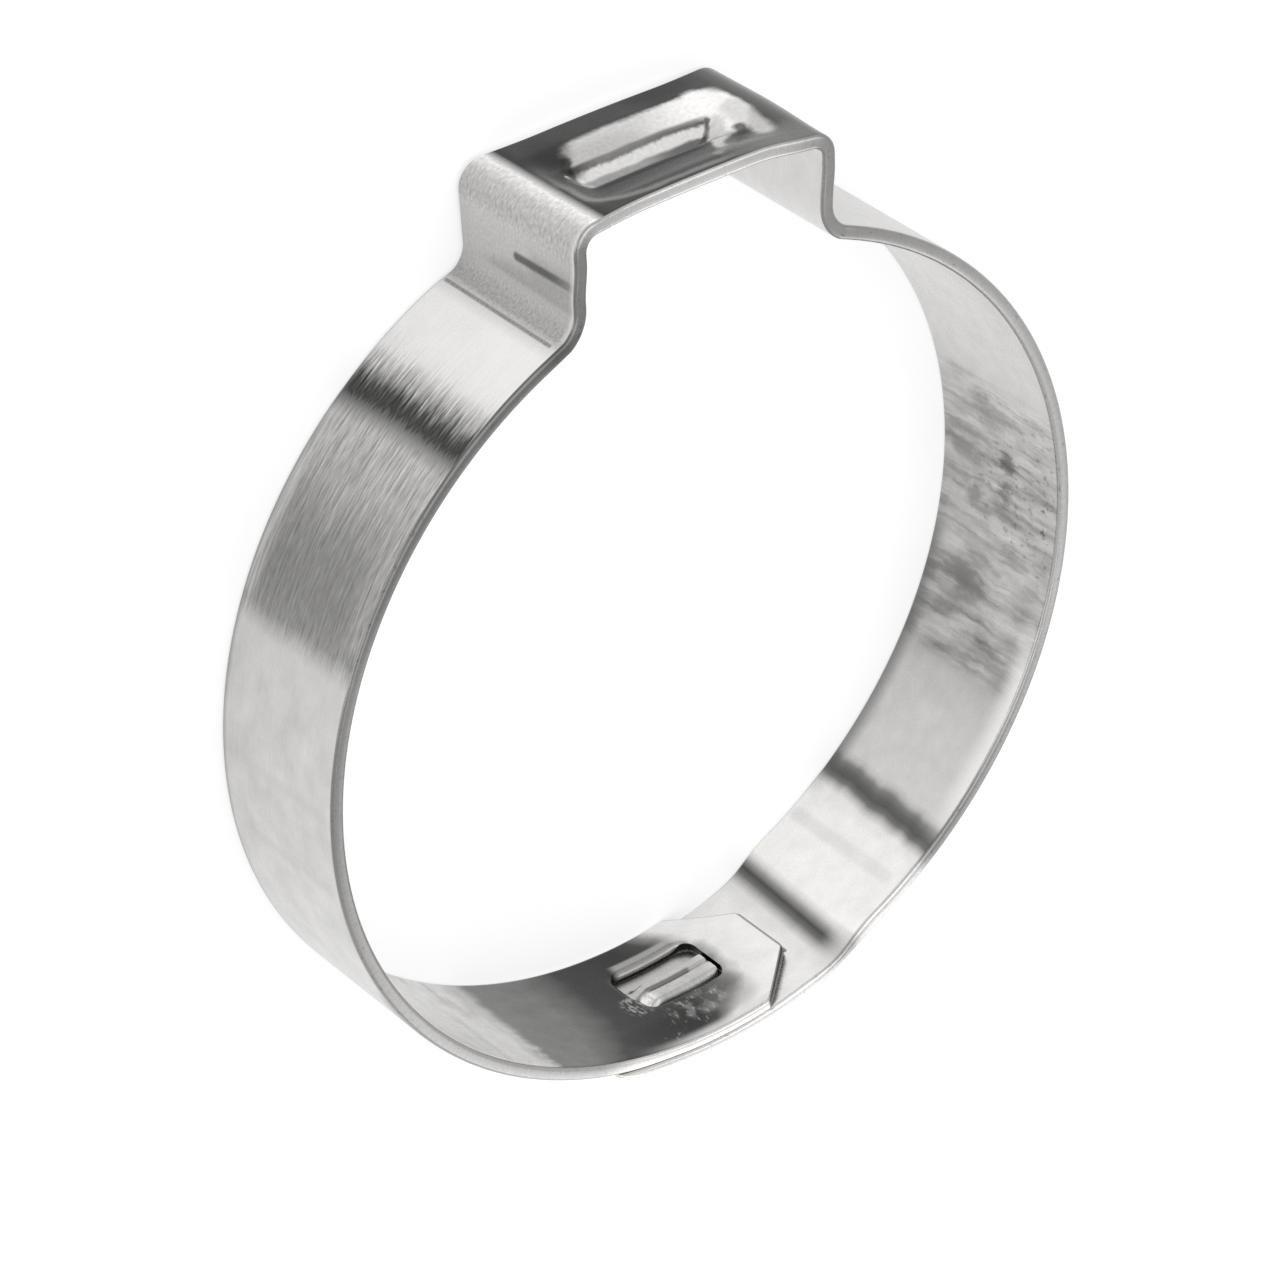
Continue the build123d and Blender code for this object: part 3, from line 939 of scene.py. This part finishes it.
def earTone(tree, along, across, tone):
    # painted reflections on the ear's crown: dark on its top and bright along the recess's far and right
    # sides, with painted shade and highlights at the recess's ends
    dapple = (texture(tree, along, across, 5.0, 7.0, 4.0, 15.0) - 0.5) * 1.6
    drift = (texture(tree, along, across, 0.8, 0.8, 1.0, 19.0) - 0.5) * 0.7
    u = along - finish["crownMiddle"] + drift + dapple * 0.1
    v = across + drift * 0.25 + dapple * 0.06
    dome = tone
    # painted shade and light spots on the crown
    tone = addSpots(tone, u, v, finish["crownShadeAndLightSpots"])
    # painted highlight along the recess's near rim
    ovalU, ovalV = u / 4.25, (v - 0.2) / 2.6
    oval = (ovalU * ovalU) * (ovalU * ovalU) + (ovalV * ovalV) * (ovalV * ovalV)
    rim = oval.band(0.85, 1.2, 0.3) * v.ramp(-1.4, 1.6) * (1 - u.ramp(0.6, 2.4))
    tone = mixTone(tone, rim * 0.75, 140)
    # painted reflection on the recess's far flank, brightest to the right
    bottom = 1 - (abs(u) / 4.4).ramp(0.8, 1.0) * 0.5
    slope = (u + v * 0.7).ramp(-4.2, -3.0) * (1 - u.ramp(3.9, 4.6)) * v.band(-1.84, -0.72, 0.3)
    tone = mixTone(tone, slope * 0.95 * bottom, 210)
    tone = mixTone(tone, slope * spot(u, v, (-1.6, -0.9), (2.8, 0.9)) * 0.4, 150)
    tone = mixTone(tone, slope * u.ramp(0.2, 3.2) * 0.9, 246)
    # painted highlight on the recess's right end, and a light line beside it
    rightFlankHighlight = (spot(u, v, (3.45, -0.5), (1.25, 1.75)) * 3).least(1) * u.ramp(2.7, 3.4)
    tone = mixTone(tone, rightFlankHighlight * 0.95, 246)
    tone = mixTone(tone, stroke(u, v, (4.05, 1.7), (4.15, -0.4), 0.6) * 0.8, 208)
    # painted highlight running round the recess's right end
    flareHighlight = stroke(u, v, (1.4, 2.3), (2.1, 1.6), 0.3) * 0.3
    flareHighlight = flareHighlight.most(stroke(u, v, (2.05, 1.6), (2.75, 0.6), 0.4))
    flareHighlight = flareHighlight.most(stroke(u, v, (2.75, 0.6), (3.3, -0.2), 0.5))
    tone = mixTone(tone, flareHighlight * 0.9, 206)
    # painted shade on the recess's near flank
    tone = mixTone(tone, u.band(-3.5, 1.7, 0.6) * v.band(0.9, 2.1, 0.6) * 0.85, 30)
    # painted reflection bands across the channel: grey above, bright in the middle, and a dark gap below
    upper = u.band(-3.55, 2.6, 0.3) * (1 - u.ramp(-0.4, 1.6) * 0.65) * v.band(-0.18, 0.5, 0.14)
    tone = mixTone(tone, upper, 176)
    centre = u.band(-3.4, 2.85, 0.3) * v.band(-0.54, -0.17, 0.12)
    tone = mixTone(tone, centre * (u + v * 2).ramp(-4.3, -2.9), 243)
    gap = u.band(-3.35, 2.7, 0.3) * v.band(-0.74, -0.53, 0.18)
    tone = mixTone(tone, gap * (0.9 - u.ramp(-0.5, 2.5) * 0.4), 146)
    tone = mixTone(tone, gap * (1 - u.ramp(-3.0, -1.6)) * 0.8, 58)
    # painted shade and highlights at the recess's ends
    tone = addStrokes(tone, u, v, finish["crownShadeAndHighlightStrokes"])
    tone = tone * (1 + dapple * 0.25)
    return dome + (tone - dome) * along.band(58.7, 68.6, 0.3)


def edgeTone(tree, along, across, side):
    # sheared edges with painted reflection tones along them, painted shade on the tip's walls and painted
    # shadow on the window's walls
    shear = (texture(tree, along, side, 8.0, 0.9, 4.0, 31.0) - 0.5) * 1.6
    tone = toneAlong(tree, along + shear * 0.3, finish["edge"]) * (1 + shear * 0.16)
    pit = texture(tree, along, side, 3.0, 2.0, 4.0, 37.0).ramp(0.62, 0.72)
    tone = tone * (1 - pit * 0.35)
    # painted shade on the tip's walls
    onTip = (1 - along.ramp(2.35, 2.5)) * (1 - abs(side).ramp(0.75, 0.95))
    tone = mixTone(tone, onTip, finish["tipWallShade"])
    # painted shadow on the window's walls, between its ends
    offMiddle = abs(across - finish["windowMiddle"])
    inWindow = along.band(*finish["windowEnds"], 0.1) * (1 - offMiddle.ramp(1.5, 1.65))
    return mixTone(tone, inWindow, finish["windowWallShadow"])


def bandFinish():
    # brushed stainless steel, worn and marked along the strip, with reflections, highlights and shade
    # painted into its colour
    material, tree = emptyMaterial("stainlessStrip")
    place = addNode(tree, "Attribute", {"attribute_name": "stripPlace"}, None, 1)
    split = addNode(tree, "SeparateXYZ", None, {0: place}).socket.node
    along, across, side = [Wire(split.outputs[i]) for i in range(3)]
    bore = boreTone(tree, along, across)
    outer = outerTone(tree, along, across)
    tone = bore + (outer - bore) * side.ramp(-0.1, 0.1)
    edge = edgeTone(tree, along, across, side)
    tone = tone + (edge - tone) * (1 - abs(side).ramp(0.9, 0.99))
    tone = tone.most(0.01).least(0.97)
    dark = (0, 0, 0, 1)
    light = (*finish["tint"], 1)
    colour = addNode(tree, "Mix", {"data_type": "RGBA"}, {0: tone, 6: dark, 7: light}, 2)
    grain = texture(tree, along, across, 1.4, 30.0, 3.0, 1.0)
    peel = texture(tree, along, across, 6.0, 6.0, 2.0, 9.0)
    roughness = (grain - 0.5) * finish["grainRoughness"] + finish["roughness"]
    bump = addNode(tree, "Bump", None, {
        "Height": grain + peel * 0.6, "Strength": finish["bump"], "Distance": finish["bumpHeight"]})
    shader = addNode(tree, "BsdfPrincipled", None, {
        "Base Color": colour, "Metallic": 1.0, "Roughness": roughness, "Normal": bump})
    addNode(tree, "OutputMaterial", None, {"Surface": shader})
    print("finish made:", len(tree.nodes), "nodes")
    return material


band = buildBand()
band.data.materials.clear()
band.data.materials.append(bandFinish())
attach(band, "root")
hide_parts("clamp_band")
buildFloor()
buildLights()
buildCamera()
